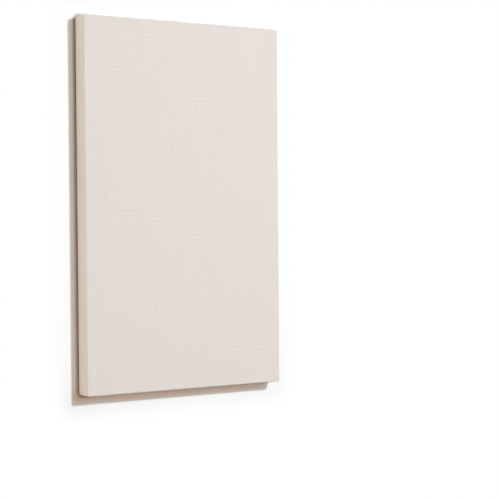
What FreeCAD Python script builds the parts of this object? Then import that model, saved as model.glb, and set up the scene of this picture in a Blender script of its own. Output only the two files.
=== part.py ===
import FreeCAD, Part
import os
import Sketcher

# Cloth wrapped acoustic panel lying on its back.
# X runs across the panel, Y along it, and Z from the floor up to the cloth face.
# The origin is the middle of the footprint, in the plane of the turned cloth hem.

# Driving sizes in millimetres
SIZES = {
    "panel_width": 600.0,
    "panel_length": 1000.0,
    "board_thickness": 52.6,
    "cloth_thickness": 1.2,
    "board_corner_radius": 4.5,
    "board_front_radius": 2.0,
    "board_back_radius": 1.8,
    "hem_width": 38.0,
    "mitre_gap": 1.0,
    "mitre_margin": 7.0,
    "tuck_inset": 1.5,
    "tuck_rise": 1.6,
    "tuck_tip": 1.5,
    "tuck_root": 0.6,
}

# Formulas that several pieces share
TOTAL_THICKNESS = "(sizes.board_thickness + 2 * sizes.cloth_thickness)"
FRONT_RADIUS = "(sizes.board_front_radius + sizes.cloth_thickness)"
BACK_RADIUS = "(sizes.board_back_radius + sizes.cloth_thickness)"
CORNER_RADIUS = "(sizes.board_corner_radius + sizes.cloth_thickness)"

# The four corners of the panel, as signs of X and Y
CORNERS = [(1, 1), (-1, 1), (-1, -1), (1, -1)]

doc = FreeCAD.newDocument("acoustic_panel")


def make_sheet():
    """The spreadsheet that holds every driving size under its own name."""
    sheet = doc.addObject("Spreadsheet::Sheet", "sizes")
    for row, (name, value) in enumerate(SIZES.items(), start=1):
        sheet.set(f"A{row}", name)
        sheet.set(f"B{row}", str(value))
        sheet.setAlias(f"B{row}", name)
    doc.recompute()
    return sheet


def origin_plane(body, role):
    """One of a body's own base planes, such as XY_Plane."""
    return next(item for item in body.Origin.OriginFeatures if item.Role == role)


def closed_outline(sketch, points):
    """Straight lines through the points and back to the first one, joined at their ends."""
    count = len(points)
    for index, start in enumerate(points):
        end = points[(index + 1) % count]
        sketch.addGeometry(Part.LineSegment(FreeCAD.Vector(*start, 0), FreeCAD.Vector(*end, 0)), False)
    for index in range(count):
        sketch.addConstraint(Sketcher.Constraint("Coincident", index, 2, (index + 1) % count, 1))


def named_size(sketch, name, formula, constraint):
    """A sketch dimension that follows a formula on the sheet."""
    sketch.renameConstraint(sketch.addConstraint(constraint), name)
    sketch.setExpression(f"Constraints.{name}", formula)


def flat_sketch(body, name):
    """An empty sketch on the body's XY plane."""
    sketch = body.newObject("Sketcher::SketchObject", name)
    sketch.AttachmentSupport = [(origin_plane(body, "XY_Plane"), "")]
    sketch.MapMode = "FlatFace"
    return sketch


def centred_rectangle(body, name, width_formula, length_formula):
    """A rectangle about the origin, with its width along X and its length along Y."""
    sketch = flat_sketch(body, name)
    half_width = SIZES["panel_width"] / 2
    half_length = SIZES["panel_length"] / 2
    closed_outline(
        sketch,
        [
            (-half_width, -half_length),
            (half_width, -half_length),
            (half_width, half_length),
            (-half_width, half_length),
        ],
    )
    for line in (0, 2):
        sketch.addConstraint(Sketcher.Constraint("Horizontal", line))
    for line in (1, 3):
        sketch.addConstraint(Sketcher.Constraint("Vertical", line))
    sketch.addConstraint(Sketcher.Constraint("Symmetric", 0, 1, 1, 2, -1, 1))
    width = Sketcher.Constraint("DistanceX", 0, 1, 0, 2, 2 * half_width)
    length = Sketcher.Constraint("DistanceY", 1, 1, 1, 2, 2 * half_length)
    named_size(sketch, "width", width_formula, width)
    named_size(sketch, "length", length_formula, length)
    return sketch


def padded(body, name, sketch, height_formula):
    """The sketch raised along +Z."""
    pad = body.newObject("PartDesign::Pad", name)
    pad.Profile = sketch
    pad.setExpression("Length", height_formula)
    doc.recompute()
    return pad


def upright_edges(shape):
    """The names of the straight edges that run along Z."""
    names = []
    for index, edge in enumerate(shape.Edges, start=1):
        ends = [vertex.Point for vertex in edge.Vertexes]
        if len(ends) == 2 and abs(ends[0].z - ends[1].z) > shape.BoundBox.ZLength / 2:
            names.append(f"Edge{index}")
    return names


def edges_in_plane(shape, height):
    """The names of the edges that lie wholly in the level plane at this height."""
    near = 1e-4
    return [
        f"Edge{index}"
        for index, edge in enumerate(shape.Edges, start=1)
        if abs(edge.BoundBox.ZMin - height) < near and abs(edge.BoundBox.ZMax - height) < near
    ]


def rounded(body, name, base, edge_names, radius_formula):
    """The base feature with the named edges rounded."""
    fillet = body.newObject("PartDesign::Fillet", name)
    fillet.Base = (base, edge_names)
    fillet.setExpression("Radius", radius_formula)
    doc.recompute()
    return fillet


def rounded_slab(body, width_formula, length_formula, height_formula, radius_formulas):
    """A slab with rounded upright corners, then a rounded front rim and a rounded back rim."""
    corner, front, back = radius_formulas
    outline = centred_rectangle(body, "slab_outline", width_formula, length_formula)
    slab = padded(body, "slab", outline, height_formula)
    corners = rounded(body, "rounded_corners", slab, upright_edges(slab.Shape), corner)
    top = corners.Shape.BoundBox.ZMax
    front_rim = rounded(body, "front_rim", corners, edges_in_plane(corners.Shape, top), front)
    return rounded(body, "back_rim", front_rim, edges_in_plane(front_rim.Shape, 0.0), back)


def cut_upwards(body, name, sketch, depth_formula):
    """A pocket from the back plane up into the solid, which has to take something away."""
    volume_before = body.Shape.Volume
    pocket = body.newObject("PartDesign::Pocket", name)
    pocket.Profile = sketch
    pocket.Reversed = True
    pocket.setExpression("Length", depth_formula)
    doc.recompute()
    if not pocket.Shape.Volume < volume_before:
        raise RuntimeError(f"{name} cuts nothing")
    return pocket


def make_core_board():
    """Stiff resin bonded wool board, sawn square, with its edges eased so that they do not cut the cloth."""
    body = doc.addObject("PartDesign::Body", "core_board")
    body.Label = "core_board"
    rounded_slab(
        body,
        "sizes.panel_width - 2 * sizes.cloth_thickness",
        "sizes.panel_length - 2 * sizes.cloth_thickness",
        "sizes.board_thickness",
        ("sizes.board_corner_radius", "sizes.board_front_radius", "sizes.board_back_radius"),
    )
    body.setExpression("Placement.Base.z", "sizes.cloth_thickness")
    return body


def cut_mitre(body, number, x_sign, y_sign):
    """The open joint between two hem flaps, on the diagonal from the hem's inner corner outwards."""
    sketch = flat_sketch(body, f"mitre_outline_{number}")
    diagonal = FreeCAD.Vector(x_sign, y_sign, 0)
    turn = FreeCAD.Rotation(FreeCAD.Vector(1, 0, 0), diagonal)
    sketch.AttachmentOffset = FreeCAD.Placement(FreeCAD.Vector(), turn)
    sketch.setExpression(
        "AttachmentOffset.Base.x", f"{x_sign} * (sizes.panel_width / 2 - sizes.hem_width)"
    )
    sketch.setExpression(
        "AttachmentOffset.Base.y", f"{y_sign} * (sizes.panel_length / 2 - sizes.hem_width)"
    )
    reach = SIZES["hem_width"]
    half_gap = SIZES["mitre_gap"] / 2
    closed_outline(
        sketch, [(-half_gap, -half_gap), (reach, -half_gap), (reach, half_gap), (-half_gap, half_gap)]
    )
    for line in (0, 2):
        sketch.addConstraint(Sketcher.Constraint("Horizontal", line))
    sketch.addConstraint(Sketcher.Constraint("Vertical", 3))
    sketch.addConstraint(Sketcher.Constraint("Symmetric", 1, 1, 1, 2, -1))
    named_size(
        sketch, "gap", "sizes.mitre_gap", Sketcher.Constraint("DistanceY", 1, 1, 1, 2, 2 * half_gap)
    )
    named_size(
        sketch, "start", "sizes.mitre_gap / 2", Sketcher.Constraint("DistanceX", 0, 1, -1, 1, half_gap)
    )
    named_size(
        sketch,
        "reach",
        "(sizes.hem_width - sizes.mitre_margin) * sqrt(2)",
        Sketcher.Constraint("DistanceX", -1, 1, 0, 2, reach),
    )
    return cut_upwards(body, f"mitre_{number}", sketch, "sizes.cloth_thickness")


def tuck_section(body, name, height_formula, x_sign, y_sign, run_formula, rise_formula):
    """One level slice of a folded corner: a wedge that is highest at the fold and dies out along the side."""
    sketch = flat_sketch(body, name)
    sketch.setExpression("AttachmentOffset.Base.z", height_formula)
    run = SIZES["board_thickness"]
    rise = SIZES["tuck_rise"]
    root = SIZES["tuck_root"]
    fold_x = x_sign * SIZES["panel_width"] / 2
    face_y = y_sign * SIZES["panel_length"] / 2
    closed_outline(
        sketch,
        [
            (fold_x, face_y - y_sign * root),
            (fold_x, face_y + y_sign * rise),
            (fold_x - x_sign * run, face_y),
            (fold_x - x_sign * run, face_y - y_sign * root),
        ],
    )
    sketch.addConstraint(Sketcher.Constraint("Vertical", 0))
    sketch.addConstraint(Sketcher.Constraint("Vertical", 2))
    sketch.addConstraint(Sketcher.Constraint("Horizontal", 3))

    def across(name, formula, first, second, value):
        """A distance along X between two ends, measured so that it stays positive on either side."""
        ends = (*first, *second) if x_sign > 0 else (*second, *first)
        named_size(sketch, name, formula, Sketcher.Constraint("DistanceX", *ends, value))

    def along(name, formula, first, second, value):
        """A distance along Y between two ends, measured so that it stays positive at either end."""
        ends = (*first, *second) if y_sign > 0 else (*second, *first)
        named_size(sketch, name, formula, Sketcher.Constraint("DistanceY", *ends, value))

    origin = (-1, 1)
    fold_foot = (0, 1)
    fold_top = (0, 2)
    tail_top = (2, 1)
    fold_formula = f"sizes.panel_width / 2 - {CORNER_RADIUS} - sizes.tuck_inset"
    across("fold_line", fold_formula, origin, fold_foot, abs(fold_x))
    across("run", run_formula, tail_top, fold_top, run)
    along("root_line", "sizes.panel_length / 2 - sizes.tuck_root", origin, fold_foot, abs(face_y) - root)
    along("root", "sizes.tuck_root", fold_foot, tail_top, root)
    along("rise", rise_formula, tail_top, fold_top, rise)
    return sketch


def add_corner_tuck(body, number, x_sign, y_sign):
    """The spare cloth of a corner, folded flat under the short side's flap.

    The fold stands beside the corner and is thickest at the back edge. It thins out towards the
    front corner and along the diagonal, as a folded triangle under stretched cloth does.
    """
    side_height = f"({TOTAL_THICKNESS} - {FRONT_RADIUS} - {BACK_RADIUS})"
    back = tuck_section(
        body, f"tuck_back_{number}", BACK_RADIUS, x_sign, y_sign, side_height, "sizes.tuck_rise"
    )
    front = tuck_section(
        body,
        f"tuck_front_{number}",
        f"{TOTAL_THICKNESS} - {FRONT_RADIUS} - sizes.tuck_tip",
        x_sign,
        y_sign,
        "sizes.tuck_tip",
        f"sizes.tuck_rise * sizes.tuck_tip / {side_height}",
    )
    loft = body.newObject("PartDesign::AdditiveLoft", f"tuck_{number}")
    loft.Profile = back
    loft.Sections = [front]
    loft.Ruled = True
    doc.recompute()
    return loft


def make_cover_form():
    """The cover's outer form: wrapped face and sides, with the back open inside a mitred hem."""
    body = doc.addObject("PartDesign::Body", "cover_form")
    rounded_slab(
        body,
        "sizes.panel_width",
        "sizes.panel_length",
        TOTAL_THICKNESS,
        (CORNER_RADIUS, FRONT_RADIUS, BACK_RADIUS),
    )
    window = centred_rectangle(
        body,
        "hem_window_outline",
        "sizes.panel_width - 2 * sizes.hem_width",
        "sizes.panel_length - 2 * sizes.hem_width",
    )
    cut_upwards(body, "hem_window", window, "sizes.cloth_thickness + sizes.board_thickness / 2")
    for number, (x_sign, y_sign) in enumerate(CORNERS, start=1):
        cut_mitre(body, number, x_sign, y_sign)
    for number, (x_sign, y_sign) in enumerate(CORNERS, start=1):
        add_corner_tuck(body, number, x_sign, y_sign)
    return body


def make_fabric_cover(cover_form, core_board):
    """One piece of woven cloth, pulled over the board's face and sides and glued down behind."""
    cover = doc.addObject("Part::Cut", "fabric_cover")
    cover.Label = "fabric_cover"
    cover.Base = cover_form
    cover.Tool = core_board
    doc.recompute()
    return cover


def check_document():
    """Stops if any object failed to build."""
    doc.recompute()
    for item in doc.Objects:
        if "Invalid" in item.State or "Error" in item.State:
            raise RuntimeError(f"{item.Name} failed: {item.State}")


def write_pieces(pieces):
    """Each piece to a file of its own, named by its label."""
    for piece in pieces:
        if piece.Shape.isNull() or not piece.Shape.isValid():
            raise RuntimeError(f"{piece.Label} has no valid shape")
    os.makedirs("parts", exist_ok=True)
    for piece in pieces:
        piece.Shape.exportStep(f"parts/{piece.Label}.step")
        box = piece.Shape.BoundBox
        print(
            f"{piece.Label}: {len(piece.Shape.Solids)} solid, "
            f"{box.XLength:.2f} x {box.YLength:.2f} x {box.ZLength:.2f} mm, "
            f"z {box.ZMin:.2f} to {box.ZMax:.2f}, {piece.Shape.Volume / 1000:.1f} cm3"
        )


make_sheet()
board = make_core_board()
form = make_cover_form()
cover = make_fabric_cover(form, board)
check_document()
write_pieces([board, cover])
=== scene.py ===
import bmesh
import bpy
import numpy as np
from mathutils import Matrix, Vector


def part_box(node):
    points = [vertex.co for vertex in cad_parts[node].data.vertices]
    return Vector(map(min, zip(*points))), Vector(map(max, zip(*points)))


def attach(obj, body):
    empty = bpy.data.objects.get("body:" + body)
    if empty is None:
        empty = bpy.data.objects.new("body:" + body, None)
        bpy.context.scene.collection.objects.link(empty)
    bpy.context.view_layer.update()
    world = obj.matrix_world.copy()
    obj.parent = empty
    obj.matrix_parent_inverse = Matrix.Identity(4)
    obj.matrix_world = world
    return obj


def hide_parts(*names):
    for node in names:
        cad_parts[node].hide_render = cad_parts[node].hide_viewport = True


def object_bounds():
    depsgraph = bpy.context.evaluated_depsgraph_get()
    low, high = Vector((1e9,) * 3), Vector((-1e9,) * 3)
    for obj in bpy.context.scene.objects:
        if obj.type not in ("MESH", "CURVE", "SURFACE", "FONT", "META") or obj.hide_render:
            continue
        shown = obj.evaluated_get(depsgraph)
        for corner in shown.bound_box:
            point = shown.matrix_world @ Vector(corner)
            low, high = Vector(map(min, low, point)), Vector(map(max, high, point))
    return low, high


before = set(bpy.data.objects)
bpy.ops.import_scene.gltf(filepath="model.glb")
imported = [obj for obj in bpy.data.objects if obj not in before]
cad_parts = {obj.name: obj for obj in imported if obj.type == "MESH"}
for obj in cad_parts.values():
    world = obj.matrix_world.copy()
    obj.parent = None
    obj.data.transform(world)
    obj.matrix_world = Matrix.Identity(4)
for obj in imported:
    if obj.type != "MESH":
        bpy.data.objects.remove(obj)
cad_low, cad_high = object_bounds()


# Camera
# A long lens hangs nearly four metres off, above and to the left of the panel and level with its
# middle. It looks down across the face at the photograph's slant.

FRAME_PIXELS = 500
FOCAL_PIXELS = 1337.6
SENSOR_WIDTH = 36.0
CAMERA_PLACE = Vector((-1.7808, -0.0490, 3.2443))
CAMERA_AIM = Vector((0.2052, -0.1237, 0.0524))
CAMERA_ROLL = np.radians(-0.451)

camera_data = bpy.data.cameras.new("camera")
camera_data.sensor_width = SENSOR_WIDTH
camera_data.lens = FOCAL_PIXELS / FRAME_PIXELS * SENSOR_WIDTH
camera = bpy.data.objects.new("camera", camera_data)
forward = (CAMERA_AIM - CAMERA_PLACE).normalized()
level = forward.cross(Vector((0, 1, 0))).normalized()
upright = level.cross(forward)
right = level * np.cos(CAMERA_ROLL) + upright * np.sin(CAMERA_ROLL)
turned = Matrix((right, right.cross(forward), -forward)).transposed().to_4x4()
camera.matrix_world = Matrix.Translation(CAMERA_PLACE) @ turned
bpy.context.collection.objects.link(camera)
bpy.context.scene.camera = camera


# Core board
# A stiff slab of resin bonded glass wool, sawn square and eased along its edges. Only its back
# shows, in the opening that the turned cloth leaves.

HEM_WIDTH = 0.038
BOARD_CORNER_RADIUS = 0.0045
BOARD_FRONT_RADIUS = 0.0020
BOARD_BACK_RADIUS = 0.0018
BOARD_CLEARANCE = 0.00005
BOARD_GRID = 0.006
LUMP_HEIGHT = 0.000175
LUMP_LENGTHS = (0.012, 0.12)
LUMP_LIMIT = 2.0
# Each layer of streaks is its size along X, Y and Z, and its strength.
FIBRE_STREAKS = (
    ((0.0035, 0.0170, 0.0035), 1.0),
    ((0.0130, 0.0040, 0.0035), 0.8),
    ((0.0016, 0.0016, 0.0016), 0.6),
)
FIBRE_CONTRAST = 0.5
FIBRE_RELIEF = 0.0007
BINDER_CLOUD = (0.09, 0.14, 0.09)
CLOUD_START, CLOUD_END = 0.35, 0.85
BINDER_SHARE = 0.45
NOISE_MEAN = 0.5

board_low, board_high = (np.array(corner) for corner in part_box("core_board"))


def stations(half, step, end_steps=()):
    """Places from -half to half.

    Near each end they lie at the given distances from it, and between the farthest two of those they
    are evenly spaced, at most a step apart.
    """
    outer = half - np.sort([0.0, *end_steps])[::-1]
    count = int(np.ceil(2 * outer[0] / step)) + 1
    middle = np.linspace(-outer[0], outer[0], count)
    return np.concatenate([-outer[:0:-1], middle, outer[1:]])


def quarter_arc(radius, steps):
    """A quarter circle as (inset from the side, drop from the face), from level to upright.

    The inset is the radius times 1 - sin a and the drop is the radius times 1 - cos a, for a from 0
    to 90 degrees.
    """
    angle = np.linspace(0, np.pi / 2, steps + 1)
    return np.stack([radius * (1 - np.sin(angle)), radius * (1 - np.cos(angle))], axis=1)


def wrap_profile(thickness, corner, front, back, steps, side_rows):
    """The section from the level face over the front rim, down the side and round the back rim.

    Each row is (inset from the side, height above the back): a quarter circle of the front radius,
    evenly spaced rows down the side, and a quarter circle of the back radius. It starts and ends at
    an inset of the corner radius, where the rounded upright corner has shrunk to a point.
    """
    over = quarter_arc(front, steps) * (1, -1) + (0, thickness)
    under = quarter_arc(back, steps)[::-1]
    sides = np.linspace(thickness - front, back, side_rows + 2)[1:-1]
    down = np.stack([np.zeros(side_rows), sides], axis=1)
    return np.concatenate([[(corner, thickness)], over, down, under, [(corner, 0.0)]])


def section_length(profile):
    """How far along the profile each point lies: the lengths of the steps before it, added up."""
    steps = np.linalg.norm(np.diff(profile, axis=0), axis=1)
    return np.concatenate([[0.0], np.cumsum(steps)])


def side_patch(profile, half_edge, reach, places, out, along, corner):
    """One side: the profile carried along a straight edge, and the place of each point on flat cloth.

    The inner rectangle joins the centres of the rounded corners. Its edge on this side is twice
    half_edge long, and lies at reach from the middle. A point lies out from the middle by the reach,
    plus the corner radius, minus its inset. Where the inset is more than the corner radius, the row
    is shortened in proportion, to end on the corner's diagonal. On the flat cloth a point lies out
    by the reach plus the length of the profile so far.
    """
    out, along = np.array(out, dtype=float), np.array(along, dtype=float)
    inset, height = profile[:, 0], profile[:, 1]
    shorter = np.where(inset > corner, (half_edge + corner - inset) / half_edge, 1.0)
    across = reach + corner - inset
    flat_out = reach + section_length(profile)
    x_y = across[:, None, None] * out + (shorter[:, None] * places)[:, :, None] * along
    z = np.broadcast_to(height[:, None, None], x_y.shape[:2] + (1,))
    flat_along = np.broadcast_to(places[:, None], x_y.shape[:2] + (1,)) * along
    return np.concatenate([x_y, z], axis=2), flat_out[:, None, None] * out + flat_along


def corner_patch(profile, centre, start_angle, corner, steps):
    """One rounded upright corner: the profile turned a quarter circle about the corner's centre.

    A point's distance from the centre is the corner radius minus its inset. The cloth of the long
    side runs on round the corner, so on the flat cloth it goes on along Y by the length of the arc,
    which is the radius times the angle.
    """
    angle = start_angle + np.linspace(0, np.pi / 2, steps + 1)
    ray = np.stack([np.cos(angle), np.sin(angle)], axis=1)
    away = corner - profile[:, 0]
    x_y = np.array(centre) + away[:, None, None] * ray
    z = np.broadcast_to(profile[:, 1][:, None, None], x_y.shape[:2] + (1,))
    from_long_side = np.arccos(np.clip(np.abs(ray[:, 0]), 0, 1))
    flat_x = np.sign(centre[0]) * (abs(centre[0]) + section_length(profile))
    flat_y = np.sign(centre[1]) * (abs(centre[1]) + corner * from_long_side)
    flat = np.stack(np.broadcast_arrays(flat_x[:, None], flat_y[None, :]), axis=2)
    return np.concatenate([x_y, z], axis=2), flat


def level_patch(xs, ys, height):
    """A level grid at one height, whose flat place is its own X and Y.

    Its rows run from the far side to the near side, so that the faces point up.
    """
    x, y = np.meshgrid(xs, ys[::-1])
    flat = np.stack([x, y], axis=2)
    return np.concatenate([flat, np.full(x.shape + (1,), height)], axis=2), flat


def side_patches(half_width, half_length, profile, corner, xs, ys):
    """The four sides of a slab, each a profile carried along its edge: near, right, far and left."""
    inner_x, inner_y = half_width - corner, half_length - corner
    return [
        side_patch(profile, inner_x, inner_y, xs, (0, -1), (1, 0), corner),
        side_patch(profile, inner_y, inner_x, ys, (1, 0), (0, 1), corner),
        side_patch(profile, inner_x, inner_y, xs, (0, 1), (-1, 0), corner),
        side_patch(profile, inner_y, inner_x, ys, (-1, 0), (0, -1), corner),
    ]


def corner_patches(half_width, half_length, profile, corner, steps=8):
    """The four rounded upright corners of a slab, each a profile turned through its own quarter."""
    x, y = half_width - corner, half_length - corner
    centres = ((x, -y), (x, y), (-x, y), (-x, -y))
    return [
        corner_patch(profile, centre, (turn - 1) * np.pi / 2, corner, steps)
        for turn, centre in enumerate(centres)
    ]


def ripple(x, y, seed, waves, lengths):
    """A smooth random surface of about unit height.

    It is the sum of sine waves of random length, heading and phase, over the square root of their
    number. The lengths are spread evenly by their logarithm, from the shortest to the longest.
    """
    draw = np.random.default_rng(seed)
    length = np.exp(draw.uniform(*np.log(lengths), waves))
    heading = draw.uniform(0, 2 * np.pi, waves)
    phase = draw.uniform(0, 2 * np.pi, waves)
    along = x[..., None] * np.cos(heading) + y[..., None] * np.sin(heading)
    return np.sin(2 * np.pi * along / length + phase).sum(axis=-1) / np.sqrt(waves)


def grid_faces(rows, columns):
    """The four point numbers of each quad in a grid whose points are counted along its rows.

    They are its first point, the one in the next row, and then the one after each of those.
    """
    first = (np.arange(rows - 1)[:, None] * columns + np.arange(columns - 1)).reshape(-1)
    return np.stack([first, first + columns, first + columns + 1, first + 1], axis=1)


def joined_mesh(name, patches, weld=1e-6):
    """One mesh of several grids, each given as (points, places on the flat cloth).

    The grids' points and quads are put one after another. Points nearer than the weld are merged, and
    what that leaves with no length is dissolved.
    """
    points, flats, faces, total = [], [], [], 0
    for places, flat in patches:
        rows, columns = places.shape[:2]
        points.append(places.reshape(-1, 3))
        flats.append(flat.reshape(-1, 2))
        faces.append(grid_faces(rows, columns) + total)
        total += rows * columns
    points, flats, faces = (np.concatenate(part) for part in (points, flats, faces))
    mesh = bpy.data.meshes.new(name)
    mesh.vertices.add(len(points))
    mesh.vertices.foreach_set("co", points.astype(np.float32).reshape(-1))
    mesh.loops.add(faces.size)
    mesh.loops.foreach_set("vertex_index", faces.astype(np.int32).reshape(-1))
    mesh.polygons.add(len(faces))
    mesh.polygons.foreach_set("loop_start", np.arange(0, faces.size, 4, dtype=np.int32))
    mesh.update(calc_edges=True)
    cloth_places = flats[faces.reshape(-1)].astype(np.float32).reshape(-1)
    mesh.uv_layers.new(name="flat_cloth").data.foreach_set("uv", cloth_places)
    shaped = bmesh.new()
    shaped.from_mesh(mesh)
    bmesh.ops.remove_doubles(shaped, verts=shaped.verts, dist=weld)
    bmesh.ops.dissolve_degenerate(shaped, edges=shaped.edges, dist=weld)
    shaped.to_mesh(mesh)
    shaped.free()
    mesh.shade_smooth()
    piece = bpy.data.objects.new(name, mesh)
    bpy.context.collection.objects.link(piece)
    return piece


def linear(hex_colour):
    """An sRGB hex colour as linear red, green, blue and alpha.

    A channel up to 0.04045 is divided by 12.92. A higher one gains 0.055, is divided by 1.055 and
    raised to the power of 2.4.
    """
    channels = np.array([int(hex_colour[place : place + 2], 16) for place in (1, 3, 5)]) / 255
    low = channels / 12.92
    high = ((channels + 0.055) / 1.055) ** 2.4
    return (*np.where(channels <= 0.04045, low, high).tolist(), 1.0)


def add_node(tree, kind, inputs=None, **settings):
    """Adds a shader node, makes its settings, and sets or links its inputs.

    An input given as a node is linked to the first of that node's outputs that is in use.
    """
    node = tree.nodes.new("ShaderNode" + kind)
    for name, value in settings.items():
        setattr(node, name, value)
    for name, value in (inputs or {}).items():
        if isinstance(value, bpy.types.Node):
            value = next(output for output in value.outputs if output.enabled)
        if isinstance(value, bpy.types.NodeSocket):
            tree.links.new(value, node.inputs[name])
        else:
            node.inputs[name].default_value = value
    return node


def new_material(name):
    """A material with an emptied node tree, and that tree."""
    material = bpy.data.materials.new(name)
    material.use_nodes = True
    material.node_tree.nodes.clear()
    return material, material.node_tree


def in_patches(place, size, seed):
    """Inputs of a multiply and add: the place over the patch size, plus the seed along each axis.

    Noise of scale 1 at the result has patches of that size, and each seed has its own pattern.
    """
    return {0: place, 1: tuple(1 / length for length in size), 2: (float(seed),) * 3}


def glass_wool():
    """Resin bonded glass wool: a matt straw coloured felt of fine fibres that lie level in the slab.

    The fibres themselves are finer than any pixel. They are drawn as streaks a few millimetres wide,
    so that the back shows its tangled grain, with broader clouds where the binder has cured darker.
    """
    material, tree = new_material("resin_bonded_glass_wool")
    place = add_node(tree, "TexCoord").outputs["Object"]
    grain = -NOISE_MEAN * sum(strength for _, strength in FIBRE_STREAKS)
    for seed, (size, strength) in enumerate(FIBRE_STREAKS):
        spot = add_node(tree, "VectorMath", in_patches(place, size, seed), operation="MULTIPLY_ADD")
        tangled = {"Vector": spot, "Scale": 1.0, "Detail": 3.0, "Distortion": 0.9}
        streak = add_node(tree, "TexNoise", tangled)
        grain = add_node(tree, "Math", {0: streak, 1: strength, 2: grain}, operation="MULTIPLY_ADD")
    limits = {"Value": grain, "From Min": -FIBRE_CONTRAST, "From Max": FIBRE_CONTRAST}
    paleness = add_node(tree, "MapRange", limits, interpolation_type="SMOOTHSTEP")
    straws = {"Factor": paleness, "A": linear("#BCA66E"), "B": linear("#EFE2B8")}
    felt = add_node(tree, "Mix", straws, data_type="RGBA")
    patches = in_patches(place, BINDER_CLOUD, seed=13)
    spot = add_node(tree, "VectorMath", patches, operation="MULTIPLY_ADD")
    cloud = add_node(tree, "TexNoise", {"Vector": spot, "Scale": 1.0, "Detail": 2.0})
    limits = {"Value": cloud, "From Min": CLOUD_START, "From Max": CLOUD_END, "To Max": BINDER_SHARE}
    cured = add_node(tree, "MapRange", limits, interpolation_type="SMOOTHSTEP")
    browned = {"Factor": cured, "A": felt, "B": linear("#BFA266")}
    colour = add_node(tree, "Mix", browned, data_type="RGBA")
    raised = add_node(tree, "Bump", {"Height": grain, "Strength": 0.7, "Distance": FIBRE_RELIEF})
    finish = {"Base Color": colour, "Roughness": 0.95, "IOR": 1.5, "Specular IOR Level": 0.2}
    wool = add_node(tree, "BsdfPrincipled", {**finish, "Normal": raised})
    add_node(tree, "OutputMaterial", {"Surface": wool})
    return material


def lumpy_back(xs, ys, half_length):
    """The back's grid: level under the hem, and in the opening raised and sunk by a smooth ripple.

    The ripple starts one grid step inside the opening, and its share grows evenly from 0 to 1 over
    two more. The rows are turned over, so that the faces point down.
    """
    back, flat = level_patch(xs, ys, 0.0)
    x, y = back[..., 0], back[..., 1]
    open_x = cad_high.x - HEM_WIDTH - BOARD_GRID
    open_y = half_length - HEM_WIDTH - BOARD_GRID
    inside = np.minimum(open_x - np.abs(x), open_y - np.abs(y))
    share = np.clip(inside / (2 * BOARD_GRID), 0, 1)
    lumps = ripple(x, y, seed=11, waves=40, lengths=LUMP_LENGTHS).clip(-LUMP_LIMIT, LUMP_LIMIT)
    back[..., 2] += share * LUMP_HEIGHT * lumps
    return back[::-1], flat[::-1]


def make_core_board():
    """The slab inside the wrap, a hair smaller than the space in it, with a faintly lumpy back."""
    half_width, half_length = board_high[:2] - BOARD_CLEARANCE
    thickness = board_high[2] - board_low[2] - BOARD_CLEARANCE
    corner = BOARD_CORNER_RADIUS
    rims = {"front": BOARD_FRONT_RADIUS, "back": BOARD_BACK_RADIUS}
    profile = wrap_profile(thickness, corner, **rims, steps=4, side_rows=3)
    xs = stations(half_width - corner, BOARD_GRID)
    ys = stations(half_length - corner, BOARD_GRID)
    patches = [level_patch(xs, ys, thickness), lumpy_back(xs, ys, half_length)]
    patches += side_patches(half_width, half_length, profile, corner, xs, ys)
    patches += corner_patches(half_width, half_length, profile, corner)
    for places, _ in patches:
        places[..., 2] += board_low[2]
    piece = joined_mesh("wool_core_board", patches)
    piece.data.materials.append(glass_wool())
    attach(piece, "root")
    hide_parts("core_board")


make_core_board()


# Cloth cover
# One piece of plain woven polyester, its corners trimmed. It is pulled over the board's face and
# sides and glued down behind in a hem with mitred corners. The cloth left at each corner is folded
# flat under the flap of the short side, where it swells the side a little.

CLOTH_THICKNESS = 0.0012
CORNER_RADIUS = BOARD_CORNER_RADIUS + CLOTH_THICKNESS
FRONT_RADIUS = BOARD_FRONT_RADIUS + CLOTH_THICKNESS
BACK_RADIUS = BOARD_BACK_RADIUS + CLOTH_THICKNESS
CLOTH_GRID = 0.0075
HEM_ROWS = 9
HEM_WAVER = 0.0006
WAVER_LENGTHS = (0.03, 0.25)
MITRE_GAP = 0.0010
MITRE_MARGIN = 0.0070
MITRE_CALM = 0.030
TUCK_INSET = 0.0015
TUCK_RISE = 0.0016
FOLD_WIDTH = 0.0006
FOLD_CALM = 0.0125
# How many lines of points lie before a tuck's fold, across it and past it.
BEFORE_FOLD, ACROSS_FOLD, PAST_FOLD = 2, 5, 6
FACE_RIPPLE = 0.00006
FACE_SLACK = 1.5
FACE_LENGTHS = (0.05, 0.4)
RIM_CALM = 0.004
RIM_GROWTH = 0.030
TINY = 1e-7
THREAD_PITCH = 0.0017
THREAD_RELIEF = 0.0003
YARN_ROUNDNESS = 0.55
GROOVE_SHADE = 0.16
MEAN_HEIGHT = 0.62
# Each layer of slubs is its size along X and Y on the flat cloth, and its strength.
SLUBS = (
    ((0.0130, 0.0042, 1.0), 0.070),
    ((0.0045, 0.0160, 1.0), 0.022),
    ((0.3000, 0.0050, 1.0), 0.018),
    ((0.0050, 0.3000, 1.0), 0.024),
)
RIB_PITCH = 7 * THREAD_PITCH
RIB_STRENGTHS = {"X": 0.0046, "Y": 0.0090}
RIB_RUN = (0.20, 0.20, 1.0)
RIB_WANDER = 0.04
RIB_PATCH = (0.12, 0.07, 1.0)
RIB_BREAKS = 4.0


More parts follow.
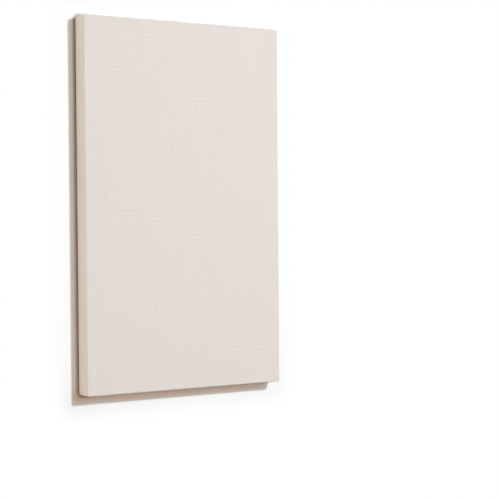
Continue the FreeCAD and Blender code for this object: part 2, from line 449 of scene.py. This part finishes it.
def plain_weave():
    """Matt polyester in a plain weave, 15 threads to the inch each way, piece dyed cream.

    Slubs, the thick and thin places in the yarn, make short streaks along the threads. Single threads
    are finer than a pixel from the photograph's distance, and show as faint wavering ribs about every
    seventh thread. The ribs are drawn at that coarser pitch, so that they show here too.
    """
    material, tree = new_material("cream_plain_weave_polyester")
    flat = add_node(tree, "UVMap", uv_map="flat_cloth")
    axes = add_node(tree, "SeparateXYZ", {"Vector": flat}).outputs

    # Each thread set is a sine across its threads. A thread's height is its round crown plus its
    # bend, up or down by turns over the threads that it crosses, and the higher thread shows.
    waves = []
    for name in ("X", "Y"):
        turn = add_node(tree, "Math", {0: axes[name], 1: np.pi / THREAD_PITCH}, operation="MULTIPLY")
        waves.append(add_node(tree, "Math", {0: turn}, operation="SINE"))
    threads = []
    for (own, crossing), side in zip((waves, waves[::-1]), (1, -1)):
        crown = add_node(tree, "Math", {0: own}, operation="ABSOLUTE")
        crown = add_node(tree, "Math", {0: crown, 1: YARN_ROUNDNESS}, operation="MULTIPLY")
        turned = add_node(tree, "Math", {0: own}, operation="SIGN")
        bend = add_node(tree, "Math", {0: crossing, 1: turned}, operation="MULTIPLY")
        bent = {0: bend, 1: side * (1 - YARN_ROUNDNESS), 2: crown}
        threads.append(add_node(tree, "Math", bent, operation="MULTIPLY_ADD"))
    height = add_node(tree, "Math", {0: threads[0], 1: threads[1]}, operation="MAXIMUM")

    # The cloth's value is about 1: more on the crowns and thick slubs, and less in the grooves. The
    # crowns and grooves are painted light and shade from the thread height.
    plain = 1 - GROOVE_SHADE * MEAN_HEIGHT - NOISE_MEAN * sum(strength for _, strength in SLUBS)
    value = add_node(tree, "Math", {0: height, 1: GROOVE_SHADE, 2: plain}, operation="MULTIPLY_ADD")
    for seed, (size, strength) in enumerate(SLUBS):
        spot = add_node(tree, "VectorMath", in_patches(flat, size, seed), operation="MULTIPLY_ADD")
        slub = add_node(tree, "TexNoise", {"Vector": spot, "Scale": 1.0, "Detail": 0.0})
        value = add_node(tree, "Math", {0: slub, 1: strength, 2: value}, operation="MULTIPLY_ADD")

    # A rib is a sine along its axis. Slow noise moves it to and fro, and other noise breaks it up.
    noises = []
    for size, seed in ((RIB_RUN, 41), (RIB_PATCH, 57)):
        spot = add_node(tree, "VectorMath", in_patches(flat, size, seed), operation="MULTIPLY_ADD")
        noises.append(add_node(tree, "TexNoise", {"Vector": spot, "Scale": 1.0, "Detail": 0.0}))
    wander, patchy = noises
    whole = 1 - RIB_BREAKS * NOISE_MEAN
    broken = add_node(tree, "Math", {0: patchy, 1: RIB_BREAKS, 2: whole}, operation="MULTIPLY_ADD")
    for name, strength in RIB_STRENGTHS.items():
        moved = {0: wander, 1: RIB_WANDER, 2: axes[name]}
        place = add_node(tree, "Math", moved, operation="MULTIPLY_ADD")
        turn = add_node(tree, "Math", {0: place, 1: 2 * np.pi / RIB_PITCH}, operation="MULTIPLY")
        rib = add_node(tree, "Math", {0: turn}, operation="SINE")
        rib = add_node(tree, "Math", {0: rib, 1: broken}, operation="MULTIPLY")
        value = add_node(tree, "Math", {0: rib, 1: strength, 2: value}, operation="MULTIPLY_ADD")

    colour = add_node(tree, "HueSaturation", {"Color": linear("#E5DED9"), "Value": value})
    raised = add_node(tree, "Bump", {"Height": height, "Strength": 0.6, "Distance": THREAD_RELIEF})
    finish = {"Base Color": colour, "Roughness": 0.9, "IOR": 1.5, "Specular IOR Level": 0.25}
    fuzz = {"Sheen Weight": 0.12, "Sheen Roughness": 0.5}
    cloth = add_node(tree, "BsdfPrincipled", {**finish, **fuzz, "Normal": raised})
    add_node(tree, "OutputMaterial", {"Surface": cloth})
    return material


def cover_patches(half_width, half_length, thickness):
    """The cover's outer surface as grids: the face, the sides with their hem flaps, and the corners.

    The profile of a side is the wrap round the board and then the level rows of its hem, from the
    mitre's start to the cut edge. The grids are finer about the upright folds of the tucks.
    """
    corner = CORNER_RADIUS
    wrap = wrap_profile(thickness, corner, FRONT_RADIUS, BACK_RADIUS, steps=6, side_rows=11)
    hem_insets = np.linspace(MITRE_MARGIN, HEM_WIDTH, HEM_ROWS)
    hem = np.stack([hem_insets, np.zeros(HEM_ROWS)], axis=1)
    across = TUCK_INSET + FOLD_WIDTH * np.linspace(-0.5, 0.5, ACROSS_FOLD)
    before = np.linspace(0, across[0], BEFORE_FOLD + 2)[1:-1]
    past = TUCK_INSET + np.geomspace(FOLD_WIDTH, FOLD_CALM, PAST_FOLD)
    fold_steps = np.concatenate([before, across, past])
    xs = stations(half_width - corner, CLOTH_GRID, fold_steps)
    ys = stations(half_length - corner, CLOTH_GRID, fold_steps)
    patches = [level_patch(xs, ys, thickness)]
    patches += side_patches(half_width, half_length, np.concatenate([wrap, hem]), corner, xs, ys)
    patches += corner_patches(half_width, half_length, wrap, corner)
    return patches


def lay_hem(places, half_width, half_length):
    """Opens the mitres at the back and lets the hem's cut edge waver.

    A flap's points are drawn towards its middle, in proportion, so that its end stops half the mitre
    gap from the corner's diagonal. The waver grows with the square of the way from the mitre's start
    to the cut edge, and dies out over MITRE_CALM next to the mitres.
    """
    x, y, z = (places[..., axis].copy() for axis in range(3))
    inset_x, inset_y = half_width - np.abs(x), half_length - np.abs(y)
    least, most = np.minimum(inset_x, inset_y), np.maximum(inset_x, inset_y)
    on_back = (z < TINY) & (least > MITRE_MARGIN + TINY)
    runs_along_x = np.ptp(x) > np.ptp(y)
    short_flap = on_back & (inset_y < inset_x + TINY) & runs_along_x
    long_flap = on_back & (inset_x < inset_y + TINY) & (not runs_along_x)
    end_shift = MITRE_GAP / np.sqrt(2)
    to_edge = np.clip((least - MITRE_MARGIN) / (HEM_WIDTH - MITRE_MARGIN), 0, 1)
    from_mitre = np.clip((most - HEM_WIDTH) / MITRE_CALM, 0, 1)
    waver = HEM_WAVER * ripple(x, y, seed=9, waves=20, lengths=WAVER_LENGTHS)
    waver *= to_edge**2 * from_mitre
    drawn_x = x * (1 - end_shift / (half_width - inset_y))
    drawn_y = y * (1 - end_shift / (half_length - inset_x))
    places[..., 0] = np.where(short_flap, drawn_x, x + np.sign(x) * waver * long_flap)
    places[..., 1] = np.where(long_flap, drawn_y, y + np.sign(y) * waver * short_flap)


def lift_tucks(places, half_width, half_length, thickness):
    """Swells the short sides over the spare cloth that is folded under them at the corners.

    The fold stands upright at TUCK_INSET from the rounded corner, and the spare cloth behind it is a
    triangle as wide as it is high. The lift falls evenly from TUCK_RISE at the fold's foot to nothing
    along the triangle's slant. It comes in over FOLD_WIDTH as a smooth step, and fades round the rims.
    """
    x, y, z = (places[..., axis] for axis in range(3))
    run = thickness - FRONT_RADIUS - BACK_RADIUS
    past_fold = half_width - CORNER_RADIUS - TUCK_INSET - np.abs(x)
    lip = np.clip(past_fold / FOLD_WIDTH + 0.5, 0, 1)
    lip = lip * lip * (3 - 2 * lip)
    up = np.clip(z - BACK_RADIUS, 0, None)
    spread = np.clip(1 - np.clip(past_fold, 0, None) / run - up / run, 0, 1)
    facing = np.clip(1 - (half_length - np.abs(y)) / BACK_RADIUS, 0, 1)
    places[..., 1] += np.sign(y) * TUCK_RISE * spread * lip * facing


def slacken_face(places, half_width, half_length, thickness):
    """Gives the face faint broad ripples, about a tenth of a millimetre below its rims.

    The ripples start RIM_CALM in from the sides and grow evenly to their full height over RIM_GROWTH.
    """
    x, y, z = (places[..., axis] for axis in range(3))
    inset = np.minimum(half_width - np.abs(x), half_length - np.abs(y))
    share = np.clip((inset - RIM_CALM) / RIM_GROWTH, 0, 1) * (z > thickness - TINY)
    waves = ripple(x, y, seed=5, waves=24, lengths=FACE_LENGTHS)
    places[..., 2] += share * FACE_RIPPLE * (waves - FACE_SLACK)


def make_cloth_cover():
    """The wrapped cloth, with its real thickness laid inwards from the outer surface.

    Flat, it was a rectangle that reached past the face by a side and a hem all round. The square of
    that reach was cut away at each corner, but for the small tuck.
    """
    half_width, thickness = cad_high.x, cad_high.z
    half_length = board_high[1] + CLOTH_THICKNESS
    patches = cover_patches(half_width, half_length, thickness)
    for places, _ in patches:
        slacken_face(places, half_width, half_length, thickness)
        lift_tucks(places, half_width, half_length, thickness)
        lay_hem(places, half_width, half_length)
    piece = joined_mesh("woven_cloth_cover", patches)
    shell = piece.modifiers.new("cloth_thickness", "SOLIDIFY")
    shell.thickness = CLOTH_THICKNESS
    shell.offset = -1
    shell.use_even_offset = True
    piece.data.materials.append(plain_weave())
    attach(piece, "root")
    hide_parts("fabric_cover")


make_cloth_cover()


# Floor
# A plain white sweep of painted board, large enough to reach the horizon in any view. It carries
# the panel and takes its shadow, and further out it fades to clean white.

FLOOR_REACH = 30.0
CONTACT_REACH = 0.012
CONTACT_DEPTH = 2.3
WARM_REACH = 0.026
SHADE_SHIFT = 0.050
FADE_START = 0.022
FADE_END = 0.082


def rays_that_see(tree):
    """1 for a ray that shows what it meets: from the camera, a reflection or through clear stuff."""
    rays = add_node(tree, "LightPath").outputs
    seen = 0.0
    for name in ("Is Camera Ray", "Is Glossy Ray", "Is Transmission Ray"):
        seen = add_node(tree, "Math", {0: rays[name], 1: seen}, operation="MAXIMUM")
    return seen


def floor_paint():
    """Matt white paint, rolled on smooth board: flat white with hardly any gloss.

    Close to the panel's foot a narrow brown contact shade is painted, as in the gap under a rounded
    edge, and the shadow along the near side is painted warmer, like light bounced off the cloth.
    Past the shadow the floor fades to plain white with the distance from the panel's outline.
    """
    material, tree = new_material("matt_white_floor_paint")
    place = add_node(tree, "TexCoord").outputs["Object"]
    axes = add_node(tree, "SeparateXYZ", {"Vector": place}).outputs

    # The distance is the length of the vector (max(|x| - a, 0), max(|y| - b, 0)), for half sizes a, b.
    spread = add_node(tree, "VectorMath", {0: place}, operation="ABSOLUTE")
    half_size = (cad_high.x, cad_high.y, 0.0)
    spread = add_node(tree, "VectorMath", {0: spread, 1: half_size}, operation="SUBTRACT")
    spread = add_node(tree, "VectorMath", {0: spread, 1: (0.0, 0.0, 0.0)}, operation="MAXIMUM")
    distance = add_node(tree, "VectorMath", {0: spread}, operation="LENGTH")

    # The painted warm shade, standing in for light bounced off the cloth, lies along the near side. It
    # ends WARM_REACH from the outline, and stops short of the lit right hand end.
    painted_warmth = 1.0
    for value, start, end in (
        (distance, WARM_REACH, WARM_REACH / 2),
        (axes["Y"], WARM_REACH - cad_high.y, -cad_high.y),
        (axes["X"], cad_high.x - SHADE_SHIFT / 2, cad_high.x - SHADE_SHIFT),
    ):
        limits = {"Value": value, "From Min": start, "From Max": end}
        share = add_node(tree, "MapRange", limits, interpolation_type="SMOOTHSTEP")
        painted_warmth = add_node(tree, "Math", {0: share, 1: painted_warmth}, operation="MULTIPLY")
    shades = {"Factor": painted_warmth, "A": linear("#F8FAFB"), "B": linear("#FEF1EA")}
    white_or_painted_warmth = add_node(tree, "Mix", shades, data_type="RGBA")

    # The contact shade is painted from ambient occlusion. Only the camera's own rays see it, so it
    # takes no light from the panel.
    openness = add_node(tree, "AmbientOcclusion", {"Distance": CONTACT_REACH}, samples=8).outputs["AO"]
    openness = add_node(tree, "Math", {0: openness, 1: CONTACT_DEPTH}, operation="POWER")
    camera_ray = add_node(tree, "LightPath").outputs["Is Camera Ray"]
    unseen = add_node(tree, "Math", {0: 1.0, 1: camera_ray}, operation="SUBTRACT")
    clear = add_node(tree, "Math", {0: openness, 1: unseen}, operation="MAXIMUM")
    foot = {"Factor": clear, "A": linear("#804A1C"), "B": white_or_painted_warmth}
    colour = add_node(tree, "Mix", foot, data_type="RGBA")
    paint = add_node(tree, "BsdfDiffuse", {"Color": colour, "Roughness": 0.0})

    limits = {"Value": distance, "From Min": FADE_START, "From Max": FADE_END}
    fade = add_node(tree, "MapRange", limits, interpolation_type="SMOOTHSTEP")
    fade = add_node(tree, "Math", {0: fade, 1: rays_that_see(tree)}, operation="MULTIPLY")
    white = add_node(tree, "Emission", {"Color": linear("#FFFFFF"), "Strength": 1.0})
    mixed = add_node(tree, "MixShader", {"Fac": fade, 1: paint, 2: white})
    add_node(tree, "OutputMaterial", {"Surface": mixed})
    return material


def make_floor():
    """One level square on the ground, that reaches equally far each way."""
    corners = FLOOR_REACH * np.array([(-1, -1, 0), (1, -1, 0), (1, 1, 0), (-1, 1, 0)])
    mesh = bpy.data.meshes.new("studio_floor")
    mesh.from_pydata(corners.tolist(), [], [(0, 1, 2, 3)])
    mesh.materials.append(floor_paint())
    floor = bpy.data.objects.new("studio_floor", mesh)
    bpy.context.collection.objects.link(floor)


make_floor()


# Studio light
# One small cool lamp hangs 2.7 m up, beyond the panel's far right corner. The room adds a soft patch
# about the lamp, a low warm glow on the left, a faint one on the near side, and a little even light.

KEY_PLACE = Vector((0.797, 0.954, 2.742))
KEY_SIZE = 0.24
KEY_POWER = 27.2
KEY_EVENNESS = 4.0
# Each glow is its centre, sharpness, strength and colour.
ROOM_GLOWS = (
    (Vector((0.27, 0.32, 1.0)), 25.0, 3.62, "#FFFBF7"),
    (Vector((-1.0, 0.0, 0.02)), 60.0, 15.7, "#FFF0DF"),
    (Vector((0.0, -1.0, 0.3)), 5.0, 0.151, "#FFE7CB"),
    (Vector((0.0, 0.0, 1.0)), 0.0, 0.218, "#FFE7CB"),
)


def make_key_lamp():
    """A small round soft box that points at the panel's middle, smoothed so that it lights evenly."""
    lamp = bpy.data.lights.new("key_lamp", "AREA")
    lamp.shape = "DISK"
    lamp.size = KEY_SIZE
    lamp.energy = KEY_POWER
    lamp.color = linear("#EAF5FF")[:3]
    lamp.use_nodes = True
    tree = lamp.node_tree
    tree.nodes.clear()
    falloff = add_node(tree, "LightFalloff", {"Strength": 1.0, "Smooth": KEY_EVENNESS})
    beam = add_node(tree, "Emission", {"Strength": falloff.outputs["Linear"]})
    add_node(tree, "OutputLight", {"Surface": beam})
    holder = bpy.data.objects.new("key_lamp", lamp)
    aim = KEY_PLACE.to_track_quat("Z", "Y").to_matrix().to_4x4()
    holder.matrix_world = Matrix.Translation(KEY_PLACE) @ aim
    holder.visible_camera = False
    bpy.context.collection.objects.link(holder)


def make_room():
    """The light from all round, and the plain white that is seen past the floor.

    Each glow is its colour, times its strength, times e to the power of its sharpness times (the
    cosine of the angle from its centre, minus 1).
    """
    world = bpy.data.worlds.new("pale_studio")
    bpy.context.scene.world = world
    world.use_nodes = True
    tree = world.node_tree
    tree.nodes.clear()
    heading = add_node(tree, "TexCoord").outputs["Generated"]
    light = (0.0, 0.0, 0.0)
    for centre, sharpness, strength, hex_colour in ROOM_GLOWS:
        towards = {0: heading, 1: centre.normalized()}
        cosine = add_node(tree, "VectorMath", towards, operation="DOT_PRODUCT")
        less_one = {0: cosine, 1: sharpness, 2: -sharpness}
        power = add_node(tree, "Math", less_one, operation="MULTIPLY_ADD")
        glow = add_node(tree, "Math", {0: power}, operation="EXPONENT")
        colour = tuple(strength * channel for channel in linear(hex_colour)[:3])
        light = add_node(tree, "VectorMath", {0: glow, 1: colour, 2: light}, operation="MULTIPLY_ADD")
    fill = add_node(tree, "Background", {"Color": light, "Strength": 1.0})
    white = add_node(tree, "Background", {"Color": linear("#FFFFFF"), "Strength": 1.0})
    mixed = add_node(tree, "MixShader", {"Fac": rays_that_see(tree), 1: fill, 2: white})
    add_node(tree, "OutputWorld", {"Surface": mixed})


make_key_lamp()
make_room()

bpy.context.scene.view_settings.view_transform = "Standard"
